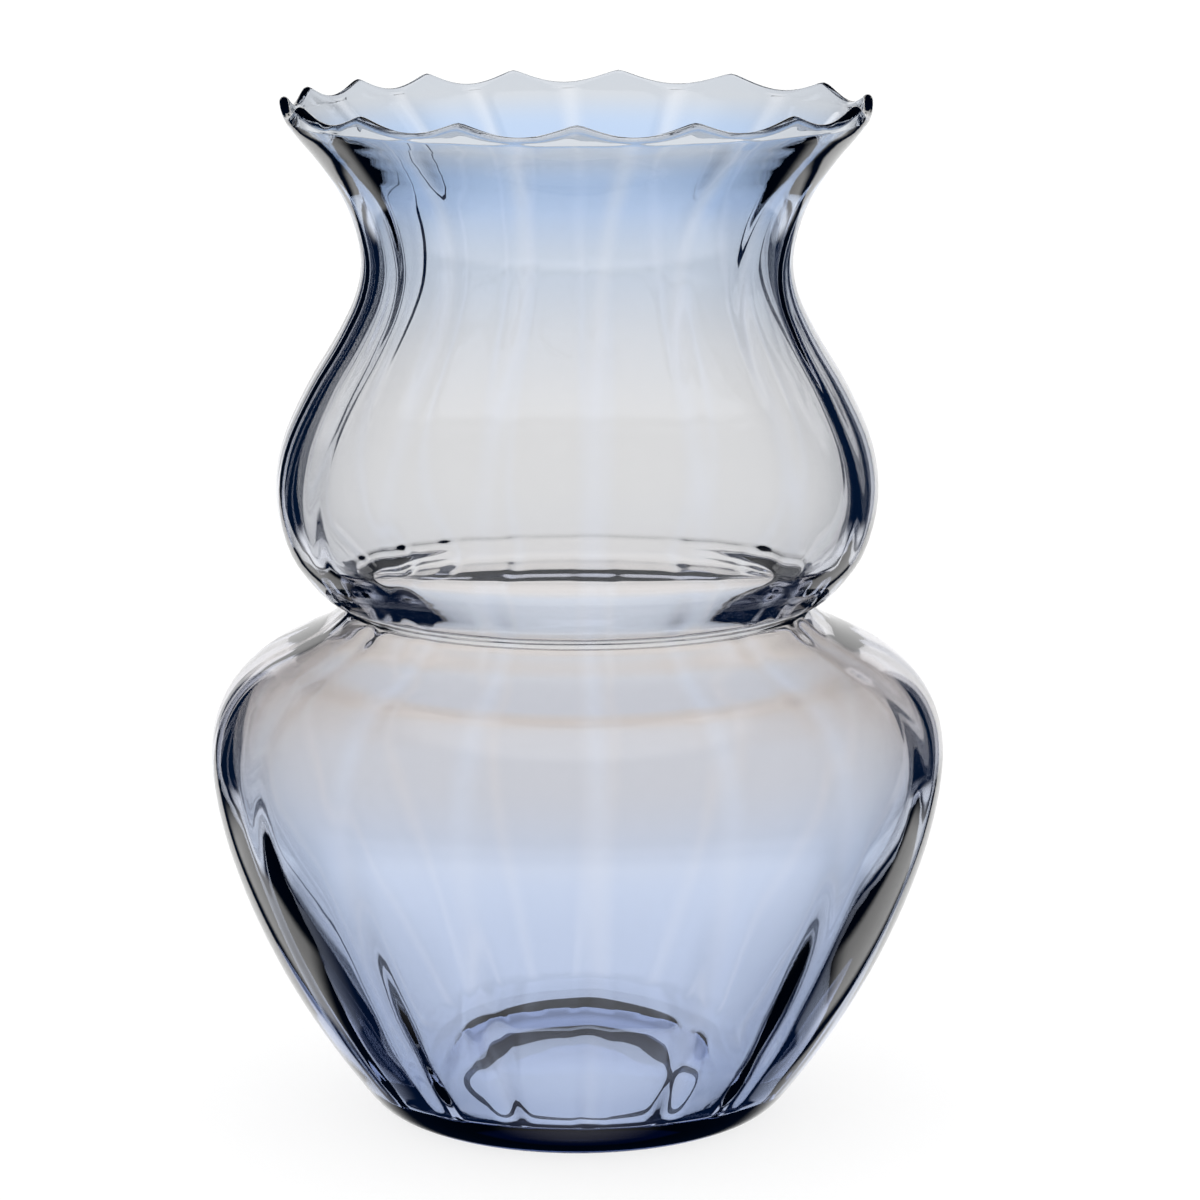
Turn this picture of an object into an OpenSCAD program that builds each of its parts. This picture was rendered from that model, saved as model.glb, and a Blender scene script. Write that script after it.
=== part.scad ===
/* [Heights] */
// Height from the table to the tips of the rim waves
vase_h = 250; // [220:1:290]
// Height of the widest line of the lower bulb
belly_z = 90; // [80:1:98]
// Height of the pinched fold between the two bulbs
waist_z = 127; // [122:1:134]
// Height of the widest line of the upper bulb
bulb_z = 154; // [148:1:164]
// Height of the narrowest line of the neck
neck_z = 212; // [200:1:216]

/* [Radii] */
// Outer radius of the ring that stands on the table
foot_r = 41; // [34:0.5:48]
// Outer radius of the lower bulb at its widest line
belly_r = 89.5; // [80:0.5:100]
// Outer radius at the bottom of the fold
waist_r = 56.5; // [50:0.5:62]
// Outer radius of the upper bulb at its widest line
bulb_r = 73; // [66:0.5:82]
// Outer radius of the neck at its narrowest line
neck_r = 52; // [44:0.5:58]
// Outer radius of the upright collar under the rim
rim_r = 71; // [64:0.5:80]

/* [Glass] */
// Wall thickness at the rim, which is also the width of the fire-polished lip
rim_wall = 2.4; // [1.8:0.1:3.4]
// Wall thickness at the neck, between two ribs
neck_wall = 4.5; // [3:0.1:6]
// Wall thickness round the upper bulb, between two ribs
bulb_wall = 5; // [3:0.1:6]
// Thickness at the fold, from the bottom of the groove to the ridge inside
waist_wall = 11; // [8:0.5:14]
// How far the ridge inside lies under the fold
fold_drop = 2.4; // [0:0.1:4]
// Wall thickness round the lower bulb, between two ribs
belly_wall = 5.1; // [3.5:0.1:6.5]
// Wall thickness low down, where the wall grows into the bottom
low_wall = 9.5; // [7:0.5:12]
// Thickness of the heavy bottom over the table
floor_t = 11; // [8:0.5:14]

/* [Optic ribs and rim] */
// Number of ribs inside the wall, with one rim wave between each two
ribs = 16; // [10:1:20]
// How far a rib stands in where it starts, beside the bottom
base_rib_h = 0.6; // [0.2:0.05:1.2]
// How far a rib stands in at the widest line of the lower bulb
belly_rib_h = 0.5; // [0.1:0.05:1]
// How far a rib stands in at the fold
waist_rib_h = 0.5; // [0.1:0.05:1]
// How far a rib stands in at the widest line of the upper bulb
bulb_rib_h = 0.45; // [0.1:0.05:1]
// How far a rib stands in at the neck
neck_rib_h = 0.9; // [0.1:0.05:1.2]
// How far a rib stands in at the rim
rim_rib_h = 0.9; // [0.1:0.05:1.2]
// Height of the ribs at the front, as a share of the others
front_rib_share = 0.3; // [0.2:0.05:1]
// Height of a rim wave from its valley to its tip
wave_h = 3; // [1:0.1:4]

/* [Underside] */
// Width of the flat ring that stands on the table
ring_w = 5; // [3:0.5:8]
// Depth of the shallow hollow inside that ring
hollow_h = 2; // [0.5:0.1:4]

/* [Hidden] */

// Angles of the hand-made pattern, in degrees, with 0 at the front
pitch_deg = 360 / ribs;
drift_deg = 14;
drift_at_deg = 165;
drift_power = 3;
twist_deg = 7.5;
twist_lean_deg = 3.5;
// The ribs are faint up to the first angle and reach their height at the second
faint_degs = [100, 125];

// Half the width of a rib, as a share of the space from rib to rib
rib_half_share = 0.16;
// How round the tips of the rim waves are
tip_round_share = 0.11;
// Places round one wave where the inner wall has its points, in the same share
round_shares = [0, 0.18, 0.33, 0.43, 0.5, 0.57, 0.67, 0.82];
// Steps of the smooth outline between two of its points
out_steps = 4;
// Least distance that the smooth outline counts, as a share of the largest radius
least_share = 0.0001;
// How far to each side of a place the outline is felt for its direction
feel = 0.05;
// Room that a cut runs past the glass
overrun = 6;

// Height of the rim halfway between tip and valley
rim_z = vase_h - wave_h / 2;

// Points between two named lines, as shares of the height and of the radius between them
foot_shares = [[0.011, 0.093], [0.039, 0.186], [0.122, 0.313], [0.256, 0.487], [0.422, 0.668],
    [0.622, 0.837], [0.822, 0.955]];
shoulder_shares = [[0.27, 0.952], [0.486, 0.818], [0.649, 0.615], [0.743, 0.415], [0.838, 0.2],
    [0.932, 0.066], [0.973, 0.018]];
under_bulb_shares = [[0.04, 0.05], [0.111, 0.3], [0.259, 0.54], [0.519, 0.82]];
over_bulb_shares = [[0.2155, 0.924], [0.457, 0.629], [0.681, 0.262], [0.853, 0.048]];
flare_shares = [[0.342, 0.178], [0.616, 0.51], [0.808, 0.815], [0.9, 0.945]];

// Turns shares into points of radius and height between two named lines
function between(shares, r0, r1, z0, z1) =
    [for (s = shares) [r0 + s[1] * (r1 - r0), z0 + s[0] * (z1 - z0)]];
function between_down(shares, r0, r1, z0, z1) =
    [for (s = shares) [r1 + s[1] * (r0 - r1), z0 + s[0] * (z1 - z0)]];

// The outline of the outside, from the table up to the rim
outline = concat(
    [[foot_r, 0]],
    between(foot_shares, foot_r, belly_r, 0, belly_z),
    [[belly_r, belly_z]],
    between_down(shoulder_shares, belly_r, waist_r, belly_z, waist_z),
    [[waist_r, waist_z]],
    between(under_bulb_shares, waist_r, bulb_r, waist_z, bulb_z),
    [[bulb_r, bulb_z]],
    between_down(over_bulb_shares, bulb_r, neck_r, bulb_z, neck_z),
    [[neck_r, neck_z]],
    between(flare_shares, neck_r, rim_r, neck_z, rim_z),
    [[rim_r, rim_z]]
);

// Where each named line stands in the outline
i_low = 4;
i_belly = len(foot_shares) + 1;
i_waist = i_belly + len(shoulder_shares) + 1;
i_bulb = i_waist + len(under_bulb_shares) + 1;
i_neck = i_bulb + len(over_bulb_shares) + 1;
i_rim = i_neck + len(flare_shares) + 1;
// Where the ribs start and reach their height, and where the inner wall leaves and meets the fold
i_rib = 1.2;
i_full_rib = 2;
i_under_fold = i_waist - 5;
i_over_fold = i_waist + 3;

// A smooth curve through the outline, where t counts its points
function at(i) = i < 0 ? 2 * outline[0] - outline[1]
    : i > i_rim ? 2 * outline[i_rim] - outline[i_rim - 1]
    : outline[i];
function knot(a, b) = sqrt(max(norm(b - a), belly_r * least_share));
function blend(a, b, ta, tb, t) = (tb - t) / (tb - ta) * a + (t - ta) / (tb - ta) * b;
function curve4(p0, p1, p2, p3, f) =
    let (t1 = knot(p0, p1), t2 = t1 + knot(p1, p2), t3 = t2 + knot(p2, p3))
    let (t = t1 + f * (t2 - t1))
    let (a1 = blend(p0, p1, 0, t1, t), a2 = blend(p1, p2, t1, t2, t), a3 = blend(p2, p3, t2, t3, t))
    let (b1 = blend(a1, a2, 0, t2, t), b2 = blend(a2, a3, t1, t3, t))
    blend(b1, b2, t1, t2, t);
function curve(t) =
    let (i = min(floor(t), i_rim - 1))
    curve4(at(i - 1), at(i), at(i + 1), at(i + 2), t - i);
// The unit direction square to a step, on its right
function square_to(d) = [d[1], -d[0]] / norm(d);
// The unit direction out of the glass at t
function out_of(t) = square_to(curve(min(t + feel, i_rim)) - curve(max(t - feel, 0)));

// Wall thickness along the outline, eased from one named line to the next
function ease(a, b, f) = a + (b - a) * (1 - cos(180 * f)) / 2;
function eased(a, b, t, i0, i1) = ease(a, b, (t - i0) / (i1 - i0));
function wall(t) =
    t < i_low ? eased(floor_t, low_wall, t, 0, i_low)
    : t < i_belly ? eased(low_wall, belly_wall, t, i_low, i_belly)
    : t < i_waist ? belly_wall
    : t < i_bulb ? bulb_wall
    : t < i_neck ? eased(bulb_wall, neck_wall, t, i_bulb, i_neck)
    : eased(neck_wall, rim_wall, t, i_neck, i_rim);

// The inner wall between two ribs, which passes the fold in one smooth bend
function behind(t) = curve(t) - wall(t) * out_of(t);
ridge = [waist_r - waist_wall, waist_z - fold_drop];
function inner_curve(t) =
    t <= i_under_fold || t >= i_over_fold ? behind(t)
    : t < i_waist ? curve4(behind(i_under_fold - 1), behind(i_under_fold), ridge, behind(i_over_fold),
        (t - i_under_fold) / (i_waist - i_under_fold))
    : curve4(behind(i_under_fold), ridge, behind(i_over_fold), behind(i_over_fold + 1),
        (t - i_waist) / (i_over_fold - i_waist));
function inner_out(t) = square_to(inner_curve(min(t + feel, i_rim)) - inner_curve(t - feel));

// Rib height along the outline, none on the floor
function rib_size(t) =
    t < i_rib ? 0
    : t < i_full_rib ? eased(0, base_rib_h, t, i_rib, i_full_rib)
    : t < i_belly ? eased(base_rib_h, belly_rib_h, t, i_full_rib, i_belly)
    : t < i_waist ? eased(belly_rib_h, waist_rib_h, t, i_belly, i_waist)
    : t < i_bulb ? eased(waist_rib_h, bulb_rib_h, t, i_waist, i_bulb)
    : t < i_neck ? eased(bulb_rib_h, neck_rib_h, t, i_bulb, i_neck)
    : eased(neck_rib_h, rim_rib_h, t, i_neck, i_rim);
// Rib section, from 1 on its crest to 0 at its foot, where u counts waves round the vase
function rib_section(u) =
    let (d = abs(u - floor(u) - 0.5) / rib_half_share)
    d < 1 ? pow(cos(90 * d), 2) : 0;
// Share of its height that a rib keeps in direction a, less at the front and over the base
function rib_share(a, t) =
    let (from_front = abs((a + 180) % 360 - 180))
    let (at_back = min(1, max(0, (from_front - faint_degs[0]) / (faint_degs[1] - faint_degs[0]))))
    1 + min(1, t / i_belly) * (front_rib_share - 1) * (1 - at_back);

// Direction of place u on the rim, then lower down, where the ribs lag behind
function rim_deg(u) = u * pitch_deg + drift_deg * pow((1 + cos(u * pitch_deg - drift_at_deg)) / 2, drift_power);
function lag(t) = t > i_bulb ? eased(1, 0, t, i_bulb, i_rim) : 1;
function turn(u, t) =
    let (a = rim_deg(u))
    a - lag(t) * (twist_deg + twist_lean_deg * sin(a));

// A point at radius r and height z in direction a, where 0 is the front and 90 the right
function place(r, z, a) = [r * sin(a), -r * cos(a), z];

// Places round the vase where the inner wall has its points
rounds = [for (k = [0 : ribs - 1], s = round_shares) k + s];
n_round = len(rounds);

// Places up the inner wall where it has its rows, counted from the named line below them
foot_rows = [1.2, 2.2, 3.4, 4.6, 5.8, 7];
shoulder_rows = [0.2, 1.2, 2.2, 3, 3.8, 4.6, 5.4, 6.2, 7, 7.7];
under_bulb_rows = [0.3, 1, 1.8, 2.6, 3.5, 4.5];
over_bulb_rows = [0.5, 1.4, 2.2, 3, 3.8, 4.6];
flare_rows = [0.5, 1.3, 2.1, 2.9, 3.7, 4.4];
rows = concat(
    foot_rows,
    [for (i = shoulder_rows) i_belly + i],
    [for (i = under_bulb_rows) i_waist + i],
    [for (i = over_bulb_rows) i_bulb + i],
    [for (i = flare_rows) i_neck + i]
);

// One ring of the inner wall at t
function inner_ring(t) =
    let (wall_point = inner_curve(t), out = inner_out(t))
    [for (u = rounds)
        let (a = turn(u, t), p = wall_point - rib_size(t) * rib_section(u) * rib_share(a, t) * out)
        place(p[0], p[1], a)];

// The lip: the wave of the rim, pointed on its tips and round in its valleys
function rounded(v) = sqrt(pow(v, 2) + pow(tip_round_share, 2)) - tip_round_share;
function wave(u) = wave_h * (0.5 - rounded(sin(180 * u)) / rounded(1));
lip_r = rim_wall / 2;
// Steps over the lip, from its inner side to past the outer wall
lip_degs = [180, 135, 90, 40];
function lip(u, a) =
    place(rim_r - lip_r + lip_r * cos(a), rim_z + wave(u) - lip_r + lip_r * sin(a), turn(u, i_rim));
function brim(u) =
    place(rim_r + overrun, rim_z + wave(u) - lip_r, turn(u, i_rim));
function lid(u) =
    place(rim_r + overrun, rim_z + wave_h / 2 + overrun, turn(u, i_rim));

// Everything that is air inside the vase and over its rim, as one closed shape
module air() {
    rings = concat(
        [for (t = rows) inner_ring(t)],
        [for (a = lip_degs) [for (u = rounds) lip(u, a)]],
        [[for (u = rounds) brim(u)]],
        [[for (u = rounds) lid(u)]]
    );
    n_rings = len(rings);
    pts = concat(
        [for (r = rings) each r],
        [[0, 0, floor_t], [0, 0, rim_z + wave_h / 2 + overrun]]
    );
    low = n_rings * n_round;
    sides = [for (j = [0 : n_rings - 2], i = [0 : n_round - 1])
        let (a = j * n_round + i, b = j * n_round + (i + 1) % n_round)
        each [[a, a + n_round, b], [b, a + n_round, b + n_round]]];
    bottom = [for (i = [0 : n_round - 1]) [low, i, (i + 1) % n_round]];
    top = [for (i = [0 : n_round - 1])
        let (a = (n_rings - 1) * n_round)
        [low + 1, a + (i + 1) % n_round, a + i]];
    polyhedron(pts, concat(sides, bottom, top));
}

// The outside of the glass, solid up to past the rim
module outside() {
    rotate_extrude($fn = 96)
        polygon(concat(
            [[0, 0]],
            [for (i = [0 : i_rim * out_steps]) curve(i / out_steps)],
            [[rim_r, rim_z + wave_h / 2 + overrun / 2], [0, rim_z + wave_h / 2 + overrun / 2]]
        ));
}

module glass_body() {
    color([0.62, 0.71, 0.85, 0.5])
    difference() {
        outside();
        air();
        hollow();
    }
}

// The shallow hollow of the underside, cut by a large ball
module hollow() {
    hollow_r = foot_r - ring_w;
    hollow_ball = (hollow_r * hollow_r + hollow_h * hollow_h) / (2 * hollow_h);
    translate([0, 0, hollow_h - hollow_ball])
        sphere(r = hollow_ball, $fn = 96);
}

glass_body();
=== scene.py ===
"""A double-bulb blown glass vase with optic ribs, standing in a plain white studio."""

import math

import bpy
import numpy as np
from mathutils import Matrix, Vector


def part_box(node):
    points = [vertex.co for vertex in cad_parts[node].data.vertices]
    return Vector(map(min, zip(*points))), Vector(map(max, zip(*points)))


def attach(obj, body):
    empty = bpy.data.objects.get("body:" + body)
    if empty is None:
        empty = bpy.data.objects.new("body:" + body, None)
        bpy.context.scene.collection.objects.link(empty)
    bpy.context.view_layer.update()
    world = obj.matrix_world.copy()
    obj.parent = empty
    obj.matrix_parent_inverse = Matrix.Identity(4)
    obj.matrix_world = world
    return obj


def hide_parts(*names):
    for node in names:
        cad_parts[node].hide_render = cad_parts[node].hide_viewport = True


bl_info = {
    "name": "Blown Glass Vase",
    "version": (1, 0, 0),
    "blender": (4, 5, 0),
    "location": "3D View > Sidebar > Vase",
    "description": "Builds an optic-ribbed glass vase round its packed frame, with its studio",
    "category": "Add Mesh",
}

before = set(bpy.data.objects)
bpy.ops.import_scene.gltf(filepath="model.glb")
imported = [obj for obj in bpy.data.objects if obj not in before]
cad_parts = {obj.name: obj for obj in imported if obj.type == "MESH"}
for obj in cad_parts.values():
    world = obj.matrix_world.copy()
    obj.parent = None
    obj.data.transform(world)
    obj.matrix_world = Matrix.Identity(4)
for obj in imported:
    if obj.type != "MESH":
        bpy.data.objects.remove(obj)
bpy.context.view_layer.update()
GLASS_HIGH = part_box("glass_body")[1]

# Rib pattern, in degrees, with 0 at the front and 90 at the right
RIBS = 16
PITCH_DEG = 360 / RIBS
DRIFT_DEG = 14
DRIFT_AT_DEG = 165
TWIST_DEG = 7.5
TWIST_LEAN_DEG = 3.5
# How closely the drift keeps to its direction
DRIFT_POWER = 3
# Between these two angles from the front, the faint ribs of the front grow to full ones
FAINT_DEG = (100, 125)
# Width of a rib to each side, as a share of the pitch
RIB_HALF_SHARE = 0.26
# How sharply the painted highlight on a rib's crest fades to its sides
HIGHLIGHT_POWER = 3
# How round the tip of a rim wave is, from 0 for a sharp one
TIP_SOFTNESS = 0.11
# How far down the wall follows the rim waves, in wave heights
WAVE_DEPTH = 2

# Places along the outside, counted in points of the outline
RIBS_FROM = 1.2
INNER_FROM = 1.25
RIBS_FULL = 2
HEAVY_POINT = 4
# How many points a bend of the inner wall takes, to each side of the fold and behind the collar
FOLD_POINTS = 4
COLLAR_POINTS = 2.7
# How far under its end the wall behind the collar turns up, as a share of the lip's thickness
COLLAR_DROP = 0.4
# How much of a point the wall stops short of the lip
LIP_GAP = 0.1

# Fineness of the meshes
COLUMNS_PER_RIB = 20
STEPS_PER_POINT = 4
FLOOR_SIDES = 96
SHADE_SIDES = (96, 16)
LIP_DEG = (0, 20, 45, 70, 90, 110, 135, 160, 180)
HOLLOW_SHARES = (0.0, 0.15, 0.3, 0.45, 0.6, 0.75, 0.88, 0.97)
RING_EDGE_SHARE = 0.06
FLOOR_SHARES = (0.9, 0.75, 0.6, 0.45, 0.3, 0.15, 0.0)

# Points between two named lines, as shares of the height and of the radius between them
FOOT_SHARES = [(0.011, 0.093), (0.039, 0.186), (0.122, 0.313), (0.256, 0.487),
               (0.422, 0.668), (0.622, 0.837), (0.822, 0.955)]
SHOULDER_SHARES = [(0.27, 0.952), (0.486, 0.818), (0.649, 0.615), (0.743, 0.415),
                   (0.838, 0.2), (0.932, 0.066), (0.973, 0.018)]
UNDER_BULB_SHARES = [(0.04, 0.05), (0.111, 0.3), (0.259, 0.54), (0.519, 0.82)]
OVER_BULB_SHARES = [(0.2155, 0.924), (0.457, 0.629), (0.681, 0.262), (0.853, 0.048)]
FLARE_SHARES = [(0.342, 0.178), (0.616, 0.51), (0.808, 0.815), (0.9, 0.945)]
# The inner wall under, at and over the fold, from its groove, as shares of the wall there
FOLD_SHARES = [(-0.47, -0.61), (-1, 0.3), (-0.09, 1.05)]

# Finishes
GLASS_IOR = 1.5
MATT = 0.8
FLOOR_GREY = 0.25
FLOOR_GLOW = 0.8

# Studio light by the direction of a ray, whose parts to the right, away and up run from -1 to 1.
# Each pair says where a light is out and where it is full.
PLAIN_LIGHT = (1.15, 1.15, 1.15)
PANEL_LIGHT = (1.05, 1.05, 1.05)
PANEL_SOFTNESS = 0.015
CORNER_SOFTNESS = 0.05
BACKDROP_FOOT = (-0.68, -0.40)
BACKDROP_TOP = (0.34, 0.26)
WING_NEAR = (0.42, 0.48)
WING_FAR = (0.68, 0.64)
WING_FOOT = (-0.62, -0.56)
WING_TOP = (-0.28, -0.36)
OVERHEAD_EDGE = (0.8, 0.9)
TABLE_EDGE = (-0.42, -0.52)
TABLE_BACK = (0.2, -0.2)

# The dark ring of painted shade on the table under the glass, as shares of the foot's radius and the
# standing ring
SHADE_RADIUS_SHARE = 0.7
SHADE_THICK_SHARE = 0.16
SHADE_GAP = 0.0003

# Sockets of a node that mixes colours
MIX_SHARE, MIX_A, MIX_B = 0, 6, 7
MIX_RESULT = 2

# The camera's sensor in millimetres, and the distances in metres that it sees
SENSOR_MM = 36
NEAREST, FARTHEST = 0.01, 50

# Points closer than this are one point, and lighter weights are none
TINY = 1e-6


class VaseSizes(bpy.types.PropertyGroup):
    """Real sizes of the vase"""

    height: bpy.props.FloatProperty(
        name="Height", description="Table to the tips of the rim waves",
        default=GLASS_HIGH.z, unit="LENGTH")
    belly_z: bpy.props.FloatProperty(
        name="Lower bulb height", description="Height of its widest line",
        default=0.090, unit="LENGTH")
    waist_z: bpy.props.FloatProperty(
        name="Fold height", description="Height of the fold between the bulbs",
        default=0.127, unit="LENGTH")
    bulb_z: bpy.props.FloatProperty(
        name="Upper bulb height", description="Height of its widest line",
        default=0.154, unit="LENGTH")
    neck_z: bpy.props.FloatProperty(
        name="Neck height", description="Height of its narrowest line",
        default=0.212, unit="LENGTH")
    foot_r: bpy.props.FloatProperty(
        name="Foot radius", description="Outer radius of the standing ring",
        default=0.041, unit="LENGTH")
    belly_r: bpy.props.FloatProperty(
        name="Lower bulb radius", description="Outer radius of the lower bulb",
        default=0.0895, unit="LENGTH")
    waist_r: bpy.props.FloatProperty(
        name="Fold radius", description="Outer radius at the bottom of the fold",
        default=0.0565, unit="LENGTH")
    bulb_r: bpy.props.FloatProperty(
        name="Upper bulb radius", description="Outer radius of the upper bulb",
        default=0.073, unit="LENGTH")
    neck_r: bpy.props.FloatProperty(
        name="Neck radius", description="Outer radius of the neck",
        default=0.052, unit="LENGTH")
    rim_r: bpy.props.FloatProperty(
        name="Rim radius", description="Outer radius of the upright collar",
        default=0.071, unit="LENGTH")
    rim_wall: bpy.props.FloatProperty(
        name="Rim wall", description="Thickness of the lip", default=0.0024, unit="LENGTH")
    neck_wall: bpy.props.FloatProperty(
        name="Neck wall", description="Thickness at the neck", default=0.0045, unit="LENGTH")
    bulb_wall: bpy.props.FloatProperty(
        name="Upper bulb wall", description="Thickness round the upper bulb",
        default=0.005, unit="LENGTH")
    waist_wall: bpy.props.FloatProperty(
        name="Fold wall", description="Thickness from the groove of the fold to the inner ridge",
        default=0.0057, unit="LENGTH")
    over_wall: bpy.props.FloatProperty(
        name="Wall over the fold", description="Thickness where the upper bulb starts",
        default=0.0076, unit="LENGTH")
    belly_wall: bpy.props.FloatProperty(
        name="Lower bulb wall", description="Thickness round the lower bulb",
        default=0.0051, unit="LENGTH")
    low_wall: bpy.props.FloatProperty(
        name="Low wall", description="Thickness of the heavy wall just over the bottom",
        default=0.0095, unit="LENGTH")
    floor_t: bpy.props.FloatProperty(
        name="Bottom", description="Thickness of the heavy bottom", default=0.011, unit="LENGTH")
    base_rib_h: bpy.props.FloatProperty(
        name="Rib height at the base", description="How far a rib stands in where it starts",
        default=0.0006, unit="LENGTH")
    belly_rib_h: bpy.props.FloatProperty(
        name="Rib height at the lower bulb", description="How far a rib stands in at its widest line",
        default=0.0005, unit="LENGTH")
    waist_rib_h: bpy.props.FloatProperty(
        name="Rib height at the fold", description="How far a rib stands in at the fold",
        default=0.0005, unit="LENGTH")
    bulb_rib_h: bpy.props.FloatProperty(
        name="Rib height at the upper bulb", description="How far a rib stands in at its widest line",
        default=0.00045, unit="LENGTH")
    neck_rib_h: bpy.props.FloatProperty(
        name="Rib height at the neck", description="How far a rib stands in at the neck",
        default=0.0009, unit="LENGTH")
    rim_rib_h: bpy.props.FloatProperty(
        name="Rib height at the rim", description="How far a rib stands in at the rim",
        default=0.0009, unit="LENGTH")
    front_rib_share: bpy.props.FloatProperty(
        name="Front rib share", description="Height of the ribs at the front, as a share of the others",
        default=0.3)
    wave_h: bpy.props.FloatProperty(
        name="Rim wave", description="Height of a rim wave", default=0.003, unit="LENGTH")
    ring_w: bpy.props.FloatProperty(
        name="Standing ring", description="Width of the standing ring",
        default=0.005, unit="LENGTH")
    hollow_h: bpy.props.FloatProperty(
        name="Hollow", description="Depth of the hollow under the base",
        default=0.002, unit="LENGTH")


class VaseLooks(bpy.types.PropertyGroup):
    """Colours of the glass and of the studio"""

    rim_tint: bpy.props.FloatVectorProperty(
        name="Rim tint", description="Glass colour at the rim", subtype="COLOR",
        size=3, min=0, max=1, default=(0.70, 0.735, 0.775))
    collar_tint: bpy.props.FloatVectorProperty(
        name="Collar tint", description="Glass colour under the rim, where it is bluest",
        subtype="COLOR", size=3, min=0, max=1, default=(0.58, 0.725, 0.94))
    neck_tint: bpy.props.FloatVectorProperty(
        name="Neck tint", description="Glass colour at the neck", subtype="COLOR",
        size=3, min=0, max=1, default=(0.82, 0.86, 0.90))
    # Glass colour at the upper bulb, partly a painted warm reflection
    bulb_tint_and_reflection: bpy.props.FloatVectorProperty(
        name="Bulb tint", description="Glass colour at the upper bulb", subtype="COLOR",
        size=3, min=0, max=1, default=(0.975, 0.96, 0.925))
    # Glass colour at the shoulder and the fold, partly a painted warm reflection
    shoulder_tint_and_reflection: bpy.props.FloatVectorProperty(
        name="Shoulder tint", description="Glass colour at the shoulder and the fold",
        subtype="COLOR", size=3, min=0, max=1, default=(0.925, 0.87, 0.81))
    base_tint: bpy.props.FloatVectorProperty(
        name="Base tint", description="Glass colour of the lower half of the lower bulb",
        subtype="COLOR", size=3, min=0, max=1, default=(0.885, 0.925, 0.98))
    foot_tint: bpy.props.FloatVectorProperty(
        name="Foot tint", description="Glass colour of the heavy bottom", subtype="COLOR",
        size=3, min=0, max=1, default=(0.80, 0.85, 0.93))
    depth_tint: bpy.props.FloatVectorProperty(
        name="Depth tint", description="Colour that thick glass turns to", subtype="COLOR",
        size=3, min=0, max=1, default=(0.25, 0.38, 0.70))
    depth_density: bpy.props.FloatProperty(
        name="Depth density", description="How soon thick glass turns to that colour",
        default=26, min=0)
    # Painted highlight: how far the glass colour is lightened towards white on a rib's crest
    rib_painted_highlight: bpy.props.FloatProperty(
        name="Rib light", description="How much lighter the crest of a rib is",
        default=0.8, min=0, max=1)
    # Also the colour of the dark ring of painted shade under the foot
    dark_tint: bpy.props.FloatVectorProperty(
        name="Studio dark", description="Colour of the dark studio walls between the panels",
        subtype="COLOR", size=3, min=0, max=1, default=(0.002, 0.009, 0.03))
    panel_half_deg: bpy.props.FloatProperty(
        name="Panel half width", description="Half the width of the four main panels, in degrees",
        default=18)
    mirror_half_deg: bpy.props.FloatProperty(
        name="Backdrop half width",
        description="Half the width of the backdrop as the glass mirrors it, in degrees",
        default=22)
    corner_half_deg: bpy.props.FloatProperty(
        name="Corner panel half width", description="Half the width of the panels between, in degrees",
        default=9)
    floor_r: bpy.props.FloatProperty(
        name="Floor radius", description="Radius of the pale floor",
        default=3.0, unit="LENGTH")
    camera_y: bpy.props.FloatProperty(
        name="Camera distance", description="Distance from the vase's axis to the camera",
        default=1.152, unit="LENGTH")
    camera_z: bpy.props.FloatProperty(
        name="Camera height", description="Height of the camera over the table",
        default=0.3593, unit="LENGTH")
    aim_x: bpy.props.FloatProperty(
        name="Aim right", description="How far right of the axis the camera aims",
        default=0.0055, unit="LENGTH")
    aim_z: bpy.props.FloatProperty(
        name="Aim height", description="Height that the camera aims at",
        default=0.1272, unit="LENGTH")
    lens: bpy.props.FloatProperty(
        name="Lens", description="Focal length of the camera in millimetres", default=144.6)


# Outline of the glass


def between(shares, r0, r1, z0, z1):
    """Points whose radius share counts up from the lower line"""
    return [(r0 + b * (r1 - r0), z0 + a * (z1 - z0)) for a, b in shares]


def between_down(shares, r0, r1, z0, z1):
    """Points whose radius share counts from the upper line"""
    return [(r1 + b * (r0 - r1), z0 + a * (z1 - z0)) for a, b in shares]


def curve(p0, p1, p2, p3, f):
    """The place at share f between p1 and p2 of a smooth curve through four points"""
    shortest = 1e-5

    def knot(a, b):
        return math.sqrt(max(np.linalg.norm(b - a), shortest))

    t1 = knot(p0, p1)
    t2 = t1 + knot(p1, p2)
    t3 = t2 + knot(p2, p3)
    t = t1 + f * (t2 - t1)

    def mix(a, b, ta, tb):
        return (tb - t) / (tb - ta) * a + (t - ta) / (tb - ta) * b

    a1, a2, a3 = mix(p0, p1, 0, t1), mix(p1, p2, t1, t2), mix(p2, p3, t2, t3)
    return mix(mix(a1, a2, 0, t2), mix(a2, a3, t1, t3), t1, t2)


def bend(points, f):
    """The place at f steps along the middle points of a smooth curve"""
    i = min(int(f), len(points) - 4)
    return curve(*points[i:i + 4], f - i)


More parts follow.
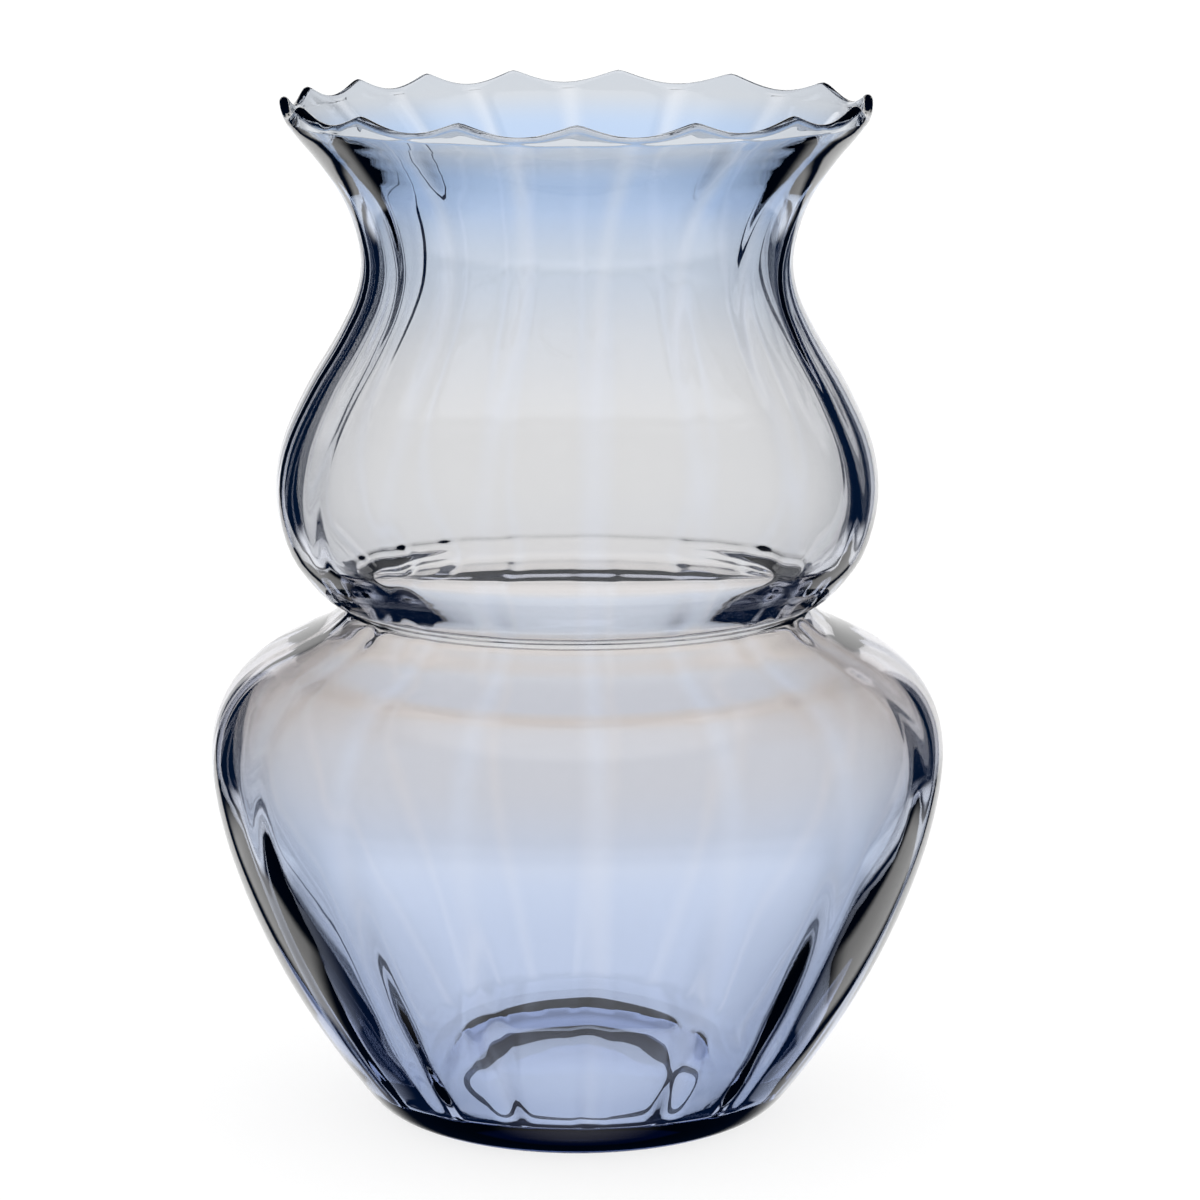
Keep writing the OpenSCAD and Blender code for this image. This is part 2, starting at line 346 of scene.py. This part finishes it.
class Outline:
    """The smooth outline of the outside, where t counts its points, and the wall behind it"""

    def __init__(self, s):
        self.s = s
        self.rim_z = s.height - s.wave_h / 2
        points = [(s.foot_r, 0)]
        points += between(FOOT_SHARES, s.foot_r, s.belly_r, 0, s.belly_z)
        self.belly = len(points)
        points += [(s.belly_r, s.belly_z)]
        points += between_down(SHOULDER_SHARES, s.belly_r, s.waist_r, s.belly_z, s.waist_z)
        self.waist = len(points)
        points += [(s.waist_r, s.waist_z)]
        points += between(UNDER_BULB_SHARES, s.waist_r, s.bulb_r, s.waist_z, s.bulb_z)
        self.bulb = len(points)
        points += [(s.bulb_r, s.bulb_z)]
        points += between_down(OVER_BULB_SHARES, s.bulb_r, s.neck_r, s.bulb_z, s.neck_z)
        self.neck = len(points)
        points += [(s.neck_r, s.neck_z)]
        points += between(FLARE_SHARES, s.neck_r, s.rim_r, s.neck_z, self.rim_z)
        self.rim = len(points)
        points += [(s.rim_r, self.rim_z)]
        points = np.array(points, float)
        ends = [2 * points[0] - points[1], 2 * points[-1] - points[-2]]
        self.points = np.vstack([ends[0], points, ends[1]])
        fine = 0.01
        tries = np.arange(self.neck, self.rim, fine)
        self.lip = next(t for t in tries if self.top_of_lip(t) >= s.height - s.wave_h)
        self.lip_lift = s.rim_r - self.at(self.lip)[0]

    def at(self, t):
        """Radius and height of the outside at place t"""
        i = min(int(math.floor(t)), self.rim - 1)
        return curve(*self.points[i:i + 4], t - i)

    def top_of_lip(self, t):
        """How high a lip reaches that ends the wall at place t"""
        return self.at(t)[1] + self.s.rim_wall / 2 * (1 - self.out_of(t)[1])

    def offset(self, t):
        """The inner wall where it simply follows the outside"""
        return self.at(t) - self.wall(t) * self.out_of(t)

    def inner(self, t):
        """The inner wall, which passes the fold in one smooth bend and turns up behind the collar"""
        s = self.s
        low = self.lip - COLLAR_POINTS
        if t > low:
            out = self.out_of(self.lip)
            end = self.at(self.lip) - s.rim_wall * out
            points = [self.offset(low - 1), self.offset(low)]
            points += [end - np.array([0, COLLAR_DROP * s.rim_wall]), end]
            points += [end + s.rim_wall * np.array([-out[1], out[0]])]
            return bend(points, 2 * (t - low) / COLLAR_POINTS)
        low, high = self.waist - FOLD_POINTS, self.waist + FOLD_POINTS
        if t <= low or t >= high:
            return self.offset(t)
        groove = np.array([s.waist_r, s.waist_z])
        points = [self.offset(low - 1), self.offset(low)]
        points += [groove + s.waist_wall * np.array(share) for share in FOLD_SHARES]
        points += [self.offset(high), self.offset(high + 1)]
        return bend(points, 2 * (t - low) / FOLD_POINTS)

    def out_of(self, t):
        """The direction square to the outside at place t"""
        near = 0.05
        d = self.at(min(t + near, self.rim)) - self.at(max(t - near, 0))
        return np.array([d[1], -d[0]]) / np.linalg.norm(d)

    def wall(self, t):
        """Thickness of the glass at place t"""
        s = self.s
        if t < HEAVY_POINT:
            return ease(s.floor_t, s.low_wall, t / HEAVY_POINT)
        if t < self.belly:
            return ease(s.low_wall, s.belly_wall, (t - HEAVY_POINT) / (self.belly - HEAVY_POINT))
        if t < self.waist:
            return s.belly_wall
        if t < self.bulb:
            return ease(s.over_wall, s.bulb_wall, (t - self.waist) / (self.bulb - self.waist))
        if t < self.neck:
            return ease(s.bulb_wall, s.neck_wall, (t - self.bulb) / (self.neck - self.bulb))
        return ease(s.neck_wall, s.rim_wall, (t - self.neck) / (self.rim - self.neck))

    def rib_size(self, t):
        """Height of a full rib at place t"""
        s = self.s
        if t < RIBS_FROM:
            return 0
        if t < RIBS_FULL:
            return ease(0, s.base_rib_h, (t - RIBS_FROM) / (RIBS_FULL - RIBS_FROM))
        if t < self.belly:
            return ease(s.base_rib_h, s.belly_rib_h, (t - RIBS_FULL) / (self.belly - RIBS_FULL))
        if t < self.waist:
            return ease(s.belly_rib_h, s.waist_rib_h, (t - self.belly) / (self.waist - self.belly))
        if t < self.bulb:
            return ease(s.waist_rib_h, s.bulb_rib_h, (t - self.waist) / (self.bulb - self.waist))
        if t < self.neck:
            return ease(s.bulb_rib_h, s.neck_rib_h, (t - self.bulb) / (self.neck - self.bulb))
        return ease(s.neck_rib_h, s.rim_rib_h, (t - self.neck) / (self.rim - self.neck))

    def lag(self, t):
        """How much of its twist a rib has at place t: all of it up to the upper bulb, none at the rim"""
        if t <= self.bulb:
            return 1
        return ease(1, 0, (t - self.bulb) / (self.rim - self.bulb))


def rib_share(line, a, fading):
    """How much of its height a rib keeps: the ribs at the front are the faintest ones"""
    away = abs((a + 180) % 360 - 180)
    at_back = min(1, max(0, (away - FAINT_DEG[0]) / (FAINT_DEG[1] - FAINT_DEG[0])))
    return 1 + fading * (line.s.front_rib_share - 1) * (1 - at_back)


def ease(a, b, f):
    """Goes smoothly from a to b as f goes from 0 to 1"""
    return a + (b - a) * (1 - math.cos(math.pi * f)) / 2


def rib_section(u):
    """1 on a rib's crest and 0 past its foot, where u counts ribs round the vase"""
    d = abs(u - math.floor(u) - 0.5) / RIB_HALF_SHARE
    return math.cos(math.pi / 2 * d) ** 2 if d < 1 else 0.0


def wave_section(u):
    """1 on the pointed tip of a rim wave and 0 in its round valley"""
    depth = math.hypot(math.sin(math.pi * u), TIP_SOFTNESS) - TIP_SOFTNESS
    return 1 - depth / (math.hypot(1, TIP_SOFTNESS) - TIP_SOFTNESS)


def turned_deg(u, lag):
    """The direction of place u, in degrees, on the rim where lag is 0 and lower down"""
    a = u * PITCH_DEG
    a += DRIFT_DEG * ((1 + math.cos(math.radians(a - DRIFT_AT_DEG))) / 2) ** DRIFT_POWER
    return a - lag * (TWIST_DEG + TWIST_LEAN_DEG * math.sin(math.radians(a)))


def section_rows(line):
    """The closed section of the glass, from the middle of the hollow to the middle of the floor

    Each row has its radius, its height, the height of its ribs, their lag, its share of the rim wave
    and how far the ribs of the front fade there.
    """
    s = line.s
    no_ribs = (0, 1, 0, 0)
    hollow_r = s.foot_r - s.ring_w
    ball = (hollow_r ** 2 + s.hollow_h ** 2) / (2 * s.hollow_h)
    rows = []
    for f in HOLLOW_SHARES:
        r = f * hollow_r
        rows.append((r, s.hollow_h - ball + math.sqrt(ball ** 2 - r ** 2), *no_ribs))
    edge_w = s.ring_w * RING_EDGE_SHARE
    for r in (hollow_r, hollow_r + edge_w, s.foot_r - edge_w):
        rows.append((r, 0, *no_ribs))
    collar = line.rim_z - WAVE_DEPTH * s.wave_h
    lip_z = line.at(line.lip)[1]

    def wave_share(t):
        return ease(0, 1, max(0.0, (line.at(t)[1] - collar) / (lip_z - collar)))

    last = int((line.lip - LIP_GAP) * STEPS_PER_POINT)
    for i in range(last + 1):
        t = i / STEPS_PER_POINT
        rows.append((*line.at(t), 0, line.lag(t), wave_share(t), 0))
    out = line.out_of(line.lip)
    lip_r = s.rim_wall / 2
    centre = line.at(line.lip) - lip_r * out
    for a in LIP_DEG:
        a = math.radians(a) + math.atan2(out[1], out[0])
        rows.append((centre[0] + lip_r * math.cos(a), centre[1] + lip_r * math.sin(a), 0, 0, 1, 0))
    for i in range(last, int(INNER_FROM * STEPS_PER_POINT) - 1, -1):
        t = i / STEPS_PER_POINT
        fading = min(1, t / line.belly)
        rows.append((*line.inner(t), line.rib_size(t), line.lag(t), wave_share(t), fading))
    edge_r, edge_z = rows[-1][:2]
    for f in FLOOR_SHARES:
        rows.append((edge_r * f, s.floor_t + (edge_z - s.floor_t) * f, *no_ribs))
    return rows


# Shared modelling steps


def pick_nothing():
    """Leaves edit mode with nothing selected"""
    if bpy.context.object and bpy.context.object.mode != "OBJECT":
        bpy.ops.object.mode_set(mode="OBJECT")
    bpy.ops.object.select_all(action="DESELECT")


def set_places(mesh, places):
    """Puts the mesh's points at these places"""
    mesh.vertices.foreach_set("co", np.asarray(places, np.float32).ravel())
    mesh.update()


def get_places(mesh):
    """The places of the mesh's points"""
    places = np.zeros(len(mesh.vertices) * 3, np.float32)
    mesh.vertices.foreach_get("co", places)
    return places.reshape(-1, 3).astype(float)


def spun_section(name, rows, columns):
    """A section of the glass, laid out on a circle's points, opened at the axis and spun round it"""
    pick_nothing()
    bpy.ops.mesh.primitive_circle_add(vertices=len(rows), radius=0.1)
    piece = bpy.context.object
    piece.name = name
    piece.data.name = name
    set_places(piece.data, [(r, 0.0, z) for r, z, *_ in rows])
    bpy.ops.object.mode_set(mode="EDIT")
    bpy.ops.mesh.select_mode(type="EDGE")
    bpy.ops.mesh.select_all(action="DESELECT")
    bpy.ops.object.mode_set(mode="OBJECT")
    last = len(rows) - 1
    for edge in piece.data.edges:
        if set(edge.vertices) == {0, last}:
            edge.select = True
    bpy.ops.object.mode_set(mode="EDIT")
    bpy.ops.mesh.delete(type="EDGE")
    bpy.ops.mesh.select_all(action="SELECT")
    bpy.ops.mesh.spin(steps=columns, angle=2 * math.pi, center=(0, 0, 0), axis=(0, 0, 1))
    bpy.ops.mesh.select_all(action="SELECT")
    bpy.ops.mesh.remove_doubles(threshold=TINY)
    bpy.ops.mesh.normals_make_consistent(inside=False)
    bpy.ops.mesh.select_mode(type="VERT")
    bpy.ops.object.mode_set(mode="OBJECT")
    return piece


def row_numbers(rows, radius, height):
    """Which row of the section each point was spun from: the same place, or else the nearest row"""
    digits = 6
    table = np.array([(r, z) for r, z, *_ in rows])
    known = {(round(r, digits), round(z, digits)): k for k, (r, z) in enumerate(table.tolist())}
    numbers = []
    for r, z in zip(radius.tolist(), height.tolist()):
        k = known.get((round(r, digits), round(z, digits)))
        if k is None:
            k = int(np.argmin((table[:, 0] - r) ** 2 + (table[:, 1] - z) ** 2))
        numbers.append(k)
    return numbers


def push_out(piece, name, weights, strength, direction):
    """Moves points by their weight along their normals or upwards"""
    group = piece.vertex_groups.new(name=name)
    for i in np.nonzero(weights > TINY)[0]:
        group.add([int(i)], float(weights[i]), "REPLACE")
    push = piece.modifiers.new(name, "DISPLACE")
    push.vertex_group = name
    push.direction = direction
    push.mid_level = 0
    push.strength = strength
    pick_nothing()
    piece.select_set(True)
    bpy.context.view_layer.objects.active = piece
    bpy.ops.object.modifier_apply(modifier=push.name)
    piece.vertex_groups.clear()


# Materials


def math_node(tree, kind, a, b=None):
    """A sum on numbers or sockets"""
    node = tree.nodes.new("ShaderNodeMath")
    node.operation = kind
    for k, v in enumerate((a, b)):
        if isinstance(v, (int, float)):
            node.inputs[k].default_value = v
        elif v is not None:
            tree.links.new(v, node.inputs[k])
    return node.outputs[0]


def mixed(tree, share, a, b):
    """Goes from a to b, each a colour or a socket, as share goes from 0 to 1"""
    node = tree.nodes.new("ShaderNodeMix")
    node.data_type = "RGBA"
    tree.links.new(share, node.inputs[MIX_SHARE])
    for k, v in ((MIX_A, a), (MIX_B, b)):
        if isinstance(v, tuple):
            node.inputs[k].default_value = (*v, 1)
        else:
            tree.links.new(v, node.inputs[k])
    return node.outputs[MIX_RESULT]


def glass_finish(looks):
    """Blue glass that is nearly clear where the wall is thin, and turns navy where it is deep; its
    colour holds painted highlights on the rib crests and a painted warm reflection at the upper bulb and
    the shoulder
    """
    material = bpy.data.materials.new("blue_blown_glass")
    material.use_nodes = True
    tree = material.node_tree
    nodes, links = tree.nodes, tree.links
    nodes.clear()
    out = nodes.new("ShaderNodeOutputMaterial")
    shader = nodes.new("ShaderNodeBsdfPrincipled")
    shader.inputs["Metallic"].default_value = 0
    shader.inputs["Roughness"].default_value = 0.0
    shader.inputs["IOR"].default_value = GLASS_IOR
    shader.inputs["Transmission Weight"].default_value = 1
    where = nodes.new("ShaderNodeTexCoord")
    split = nodes.new("ShaderNodeSeparateXYZ")
    links.new(where.outputs["Object"], split.inputs[0])
    height = nodes.new("ShaderNodeMapRange")
    height.inputs["From Min"].default_value = 0
    height.inputs["From Max"].default_value = GLASS_HIGH.z
    links.new(split.outputs["Z"], height.inputs["Value"])
    ramp = nodes.new("ShaderNodeValToRGB")
    ramp.color_ramp.interpolation = "EASE"
    # Where each tint starts and stops, as shares of the height; the warm bulb and shoulder tints hold a
    # painted reflection
    stops = [(0.0, looks.foot_tint), (0.05, looks.foot_tint), (0.16, looks.base_tint),
             (0.3, looks.base_tint), (0.41, looks.shoulder_tint_and_reflection), (0.46, looks.shoulder_tint_and_reflection),
             (0.54, looks.bulb_tint_and_reflection), (0.72, looks.bulb_tint_and_reflection), (0.86, looks.neck_tint),
             (0.945, looks.collar_tint), (0.98, looks.rim_tint), (1.0, looks.rim_tint)]
    elements = ramp.color_ramp.elements
    for element, (place, tint) in ((elements[0], stops[0]), (elements[1], stops[-1])):
        element.position = place
        element.color = (*tint, 1)
    for place, tint in stops[1:-1]:
        elements.new(place).color = (*tint, 1)
    links.new(height.outputs["Result"], ramp.inputs["Fac"])
    # Painted highlight: the rib attribute lightens the glass colour towards white on the rib crests
    rib = nodes.new("ShaderNodeAttribute")
    rib.attribute_name = "rib"
    painted_highlight = math_node(tree, "MULTIPLY", rib.outputs["Fac"], looks.rib_painted_highlight)
    tint = mixed(tree, painted_highlight, ramp.outputs["Color"], (1, 1, 1))
    links.new(tint, shader.inputs["Base Color"])
    depth = nodes.new("ShaderNodeVolumeAbsorption")
    depth.inputs["Color"].default_value = (*looks.depth_tint, 1)
    depth.inputs["Density"].default_value = looks.depth_density
    links.new(shader.outputs["BSDF"], out.inputs["Surface"])
    links.new(depth.outputs["Volume"], out.inputs["Volume"])
    return material


def matt_finish(name, tint):
    """A dull finish with no gloss"""
    material = bpy.data.materials.new(name)
    material.use_nodes = True
    shader = material.node_tree.nodes["Principled BSDF"]
    shader.inputs["Base Color"].default_value = (*tint, 1)
    shader.inputs["Roughness"].default_value = MATT
    shader.inputs["Specular IOR Level"].default_value = 0.0
    return material


def floor_finish():
    """A pale floor that glows a little, so that it stays as light as the studio"""
    material = matt_finish("pale_floor", (FLOOR_GREY, FLOOR_GREY, FLOOR_GREY))
    shader = material.node_tree.nodes["Principled BSDF"]
    shader.inputs["Emission Color"].default_value = (1, 1, 1, 1)
    shader.inputs["Emission Strength"].default_value = FLOOR_GLOW
    return material


def studio_light(looks):
    """White for the eye and the floor, and bright panels between dark walls for the glass"""
    world = bpy.data.worlds.new("studio")
    bpy.context.scene.world = world
    world.use_nodes = True
    tree = world.node_tree
    nodes, links = tree.nodes, tree.links
    nodes.clear()
    where = nodes.new("ShaderNodeTexCoord")
    split = nodes.new("ShaderNodeSeparateXYZ")
    links.new(where.outputs["Generated"], split.inputs[0])
    x, y, z = split.outputs
    path = nodes.new("ShaderNodeLightPath")

    def step(value, out_at, full_at):
        """Goes smoothly from 0 at out_at to 1 at full_at"""
        node = nodes.new("ShaderNodeMapRange")
        node.interpolation_type = "SMOOTHSTEP"
        node.inputs["From Min"].default_value = out_at
        node.inputs["From Max"].default_value = full_at
        links.new(value, node.inputs["Value"])
        return node.outputs[0]

    def both(a, b):
        return math_node(tree, "MULTIPLY", a, b)

    def either(a, b):
        return math_node(tree, "MAXIMUM", a, b)

    # Four main panels and four narrow ones between them, for what is seen straight through the glass
    sideways = math_node(tree, "ABSOLUTE", x)
    reach = math.sin(math.radians(looks.panel_half_deg))
    nearest = math_node(tree, "MINIMUM", sideways, math_node(tree, "ABSOLUTE", y))
    strip = step(nearest, reach + PANEL_SOFTNESS, reach - PANEL_SOFTNESS)
    azimuth = math_node(tree, "ARCTAN2", x, y)
    fourths = math_node(tree, "COSINE", math_node(tree, "MULTIPLY", azimuth, 4.0))
    corner_edge = -math.cos(math.radians(4 * looks.corner_half_deg))
    corner = step(fourths, corner_edge + CORNER_SOFTNESS, corner_edge - CORNER_SOFTNESS)
    through = either(strip, corner)

    # A backdrop with two low wings, a light overhead and the table, for what the glass mirrors
    reach = math.sin(math.radians(looks.mirror_half_deg))
    middle = step(sideways, reach + PANEL_SOFTNESS, reach - PANEL_SOFTNESS)
    middle = both(middle, both(step(z, *BACKDROP_TOP), step(z, *BACKDROP_FOOT)))
    wing = both(step(sideways, *WING_NEAR), step(sideways, *WING_FAR))
    wing = both(wing, both(step(z, *WING_FOOT), step(z, *WING_TOP)))
    back = both(either(middle, wing), math_node(tree, "GREATER_THAN", y, 0))
    first = math_node(tree, "LESS_THAN", path.outputs["Transmission Depth"], 0.5)
    overhead = both(step(z, *OVERHEAD_EDGE), first)
    table = both(step(z, *TABLE_EDGE), step(y, *TABLE_BACK))
    mirrored = either(either(back, overhead), table)

    dark = tuple(looks.dark_tint)
    seen_through = mixed(tree, through, dark, PANEL_LIGHT)
    seen_mirrored = mixed(tree, mirrored, dark, PANEL_LIGHT)
    straight = math_node(tree, "LESS_THAN", path.outputs["Glossy Depth"], 0.5)
    seen = mixed(tree, straight, seen_mirrored, seen_through)
    plain = either(path.outputs["Is Camera Ray"], path.outputs["Is Diffuse Ray"])
    whole = mixed(tree, plain, seen, PLAIN_LIGHT)
    background = nodes.new("ShaderNodeBackground")
    links.new(whole, background.inputs["Color"])
    out = nodes.new("ShaderNodeOutputWorld")
    links.new(background.outputs[0], out.inputs["Surface"])


class VASE_OT_glass_body(bpy.types.Operator):
    """Spins the section of the glass and gives it its ribs and rim waves"""

    bl_idname = "vase.glass_body"
    bl_label = "Glass body"

    def execute(self, context):
        sizes = context.scene.vase_sizes
        line = Outline(sizes)
        rows = section_rows(line)
        piece = spun_section("ribbed_glass", rows, RIBS * COLUMNS_PER_RIB)
        places = get_places(piece.data)
        radius = np.hypot(places[:, 0], places[:, 1])
        numbers = row_numbers(rows, radius, places[:, 2])
        around = np.degrees(np.arctan2(places[:, 0], -places[:, 1])) / PITCH_DEG
        around = np.round(around * COLUMNS_PER_RIB) / COLUMNS_PER_RIB
        # A vertex group holds weights up to 1, so they are shares of the tallest rib
        tallest = max(rib for _, _, rib, *_ in rows)
        rib_weight = np.zeros(len(places))
        rib_mark = np.zeros(len(places))
        wave_weight = np.zeros(len(places))
        for i, u in enumerate(around):
            _, _, rib, lag, wave, fading = rows[numbers[i]]
            a = math.radians(turned_deg(u, lag))
            wave_weight[i] = wave * wave_section(u)
            r = radius[i] + wave_weight[i] * line.lip_lift
            places[i, 0] = r * math.sin(a)
            places[i, 1] = -r * math.cos(a)
            if rib > 0:
                rib_mark[i] = rib_section(u)
                kept = rib_share(line, math.degrees(a), fading)
                rib_weight[i] = rib / tallest * rib_mark[i] * kept
        set_places(piece.data, places)
        push_out(piece, "ribs", rib_weight, tallest, "NORMAL")
        push_out(piece, "rim_wave", wave_weight, sizes.wave_h, "Z")
        # The rib attribute carries the painted highlight on the rib crests into the material
        painted_highlight_layer = piece.data.attributes.new("rib", "FLOAT", "POINT")
        painted_highlight_layer.data.foreach_set("value", (rib_mark ** HIGHLIGHT_POWER).astype(np.float32))
        pick_nothing()
        piece.select_set(True)
        bpy.ops.object.shade_smooth()
        piece.data.materials.clear()
        piece.data.materials.append(glass_finish(context.scene.vase_looks))
        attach(piece, "root")
        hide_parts("glass_body")
        return {"FINISHED"}


class VASE_OT_stage(bpy.types.Operator):
    """Lays the pale floor, lights the studio and sets the camera"""

    bl_idname = "vase.stage"
    bl_label = "Studio"

    def execute(self, context):
        looks = context.scene.vase_looks
        pick_nothing()
        bpy.ops.mesh.primitive_circle_add(
            vertices=FLOOR_SIDES, radius=looks.floor_r, fill_type="NGON")
        floor = context.object
        floor.name = "pale_floor"
        floor.data.materials.append(floor_finish())
        floor.visible_transmission = False
        floor.visible_glossy = False
        sizes = context.scene.vase_sizes
        # A dark ring under the foot, seen only through the glass, is painted shade on the table
        thick_r = SHADE_THICK_SHARE * sizes.ring_w
        bpy.ops.mesh.primitive_torus_add(
            major_radius=SHADE_RADIUS_SHARE * sizes.foot_r, minor_radius=thick_r,
            major_segments=SHADE_SIDES[0], minor_segments=SHADE_SIDES[1],
            location=(0, 0, -SHADE_GAP - thick_r))
        shade = context.object
        shade.name = "shade_under_the_foot"
        shade.data.materials.append(matt_finish("contact_shade", tuple(looks.dark_tint)))
        shade.visible_camera = False
        shade.visible_diffuse = False
        studio_light(looks)
        camera = bpy.data.cameras.new("photo_camera")
        camera.sensor_width = SENSOR_MM
        camera.lens = looks.lens
        camera.clip_start = NEAREST
        camera.clip_end = FARTHEST
        holder = bpy.data.objects.new("photo_camera", camera)
        context.scene.collection.objects.link(holder)
        holder.location = (0, -looks.camera_y, looks.camera_z)
        aim = Vector((looks.aim_x, 0, looks.aim_z)) - holder.location
        holder.rotation_euler = aim.to_track_quat("-Z", "Y").to_euler()
        context.scene.camera = holder
        context.scene.view_settings.view_transform = "Standard"
        return {"FINISHED"}


class VASE_PT_panel(bpy.types.Panel):
    """Lists the sizes, the colours and the pieces"""

    bl_idname = "VASE_PT_panel"
    bl_label = "Blown glass vase"
    bl_space_type = "VIEW_3D"
    bl_region_type = "UI"
    bl_category = "Vase"

    def draw(self, context):
        for group in (context.scene.vase_sizes, context.scene.vase_looks):
            column = self.layout.column(align=True)
            for key in group.__annotations__:
                column.prop(group, key)
        for operator in (VASE_OT_glass_body, VASE_OT_stage):
            self.layout.operator(operator.bl_idname)


CLASSES = (VaseSizes, VaseLooks, VASE_OT_glass_body, VASE_OT_stage, VASE_PT_panel)


def register():
    for kind in CLASSES:
        bpy.utils.register_class(kind)
    bpy.types.Scene.vase_sizes = bpy.props.PointerProperty(type=VaseSizes)
    bpy.types.Scene.vase_looks = bpy.props.PointerProperty(type=VaseLooks)


def unregister():
    del bpy.types.Scene.vase_looks
    del bpy.types.Scene.vase_sizes
    for kind in reversed(CLASSES):
        bpy.utils.unregister_class(kind)


def main():
    register()
    bpy.ops.vase.stage()
    bpy.ops.vase.glass_body()


if __name__ == "__main__":
    main()
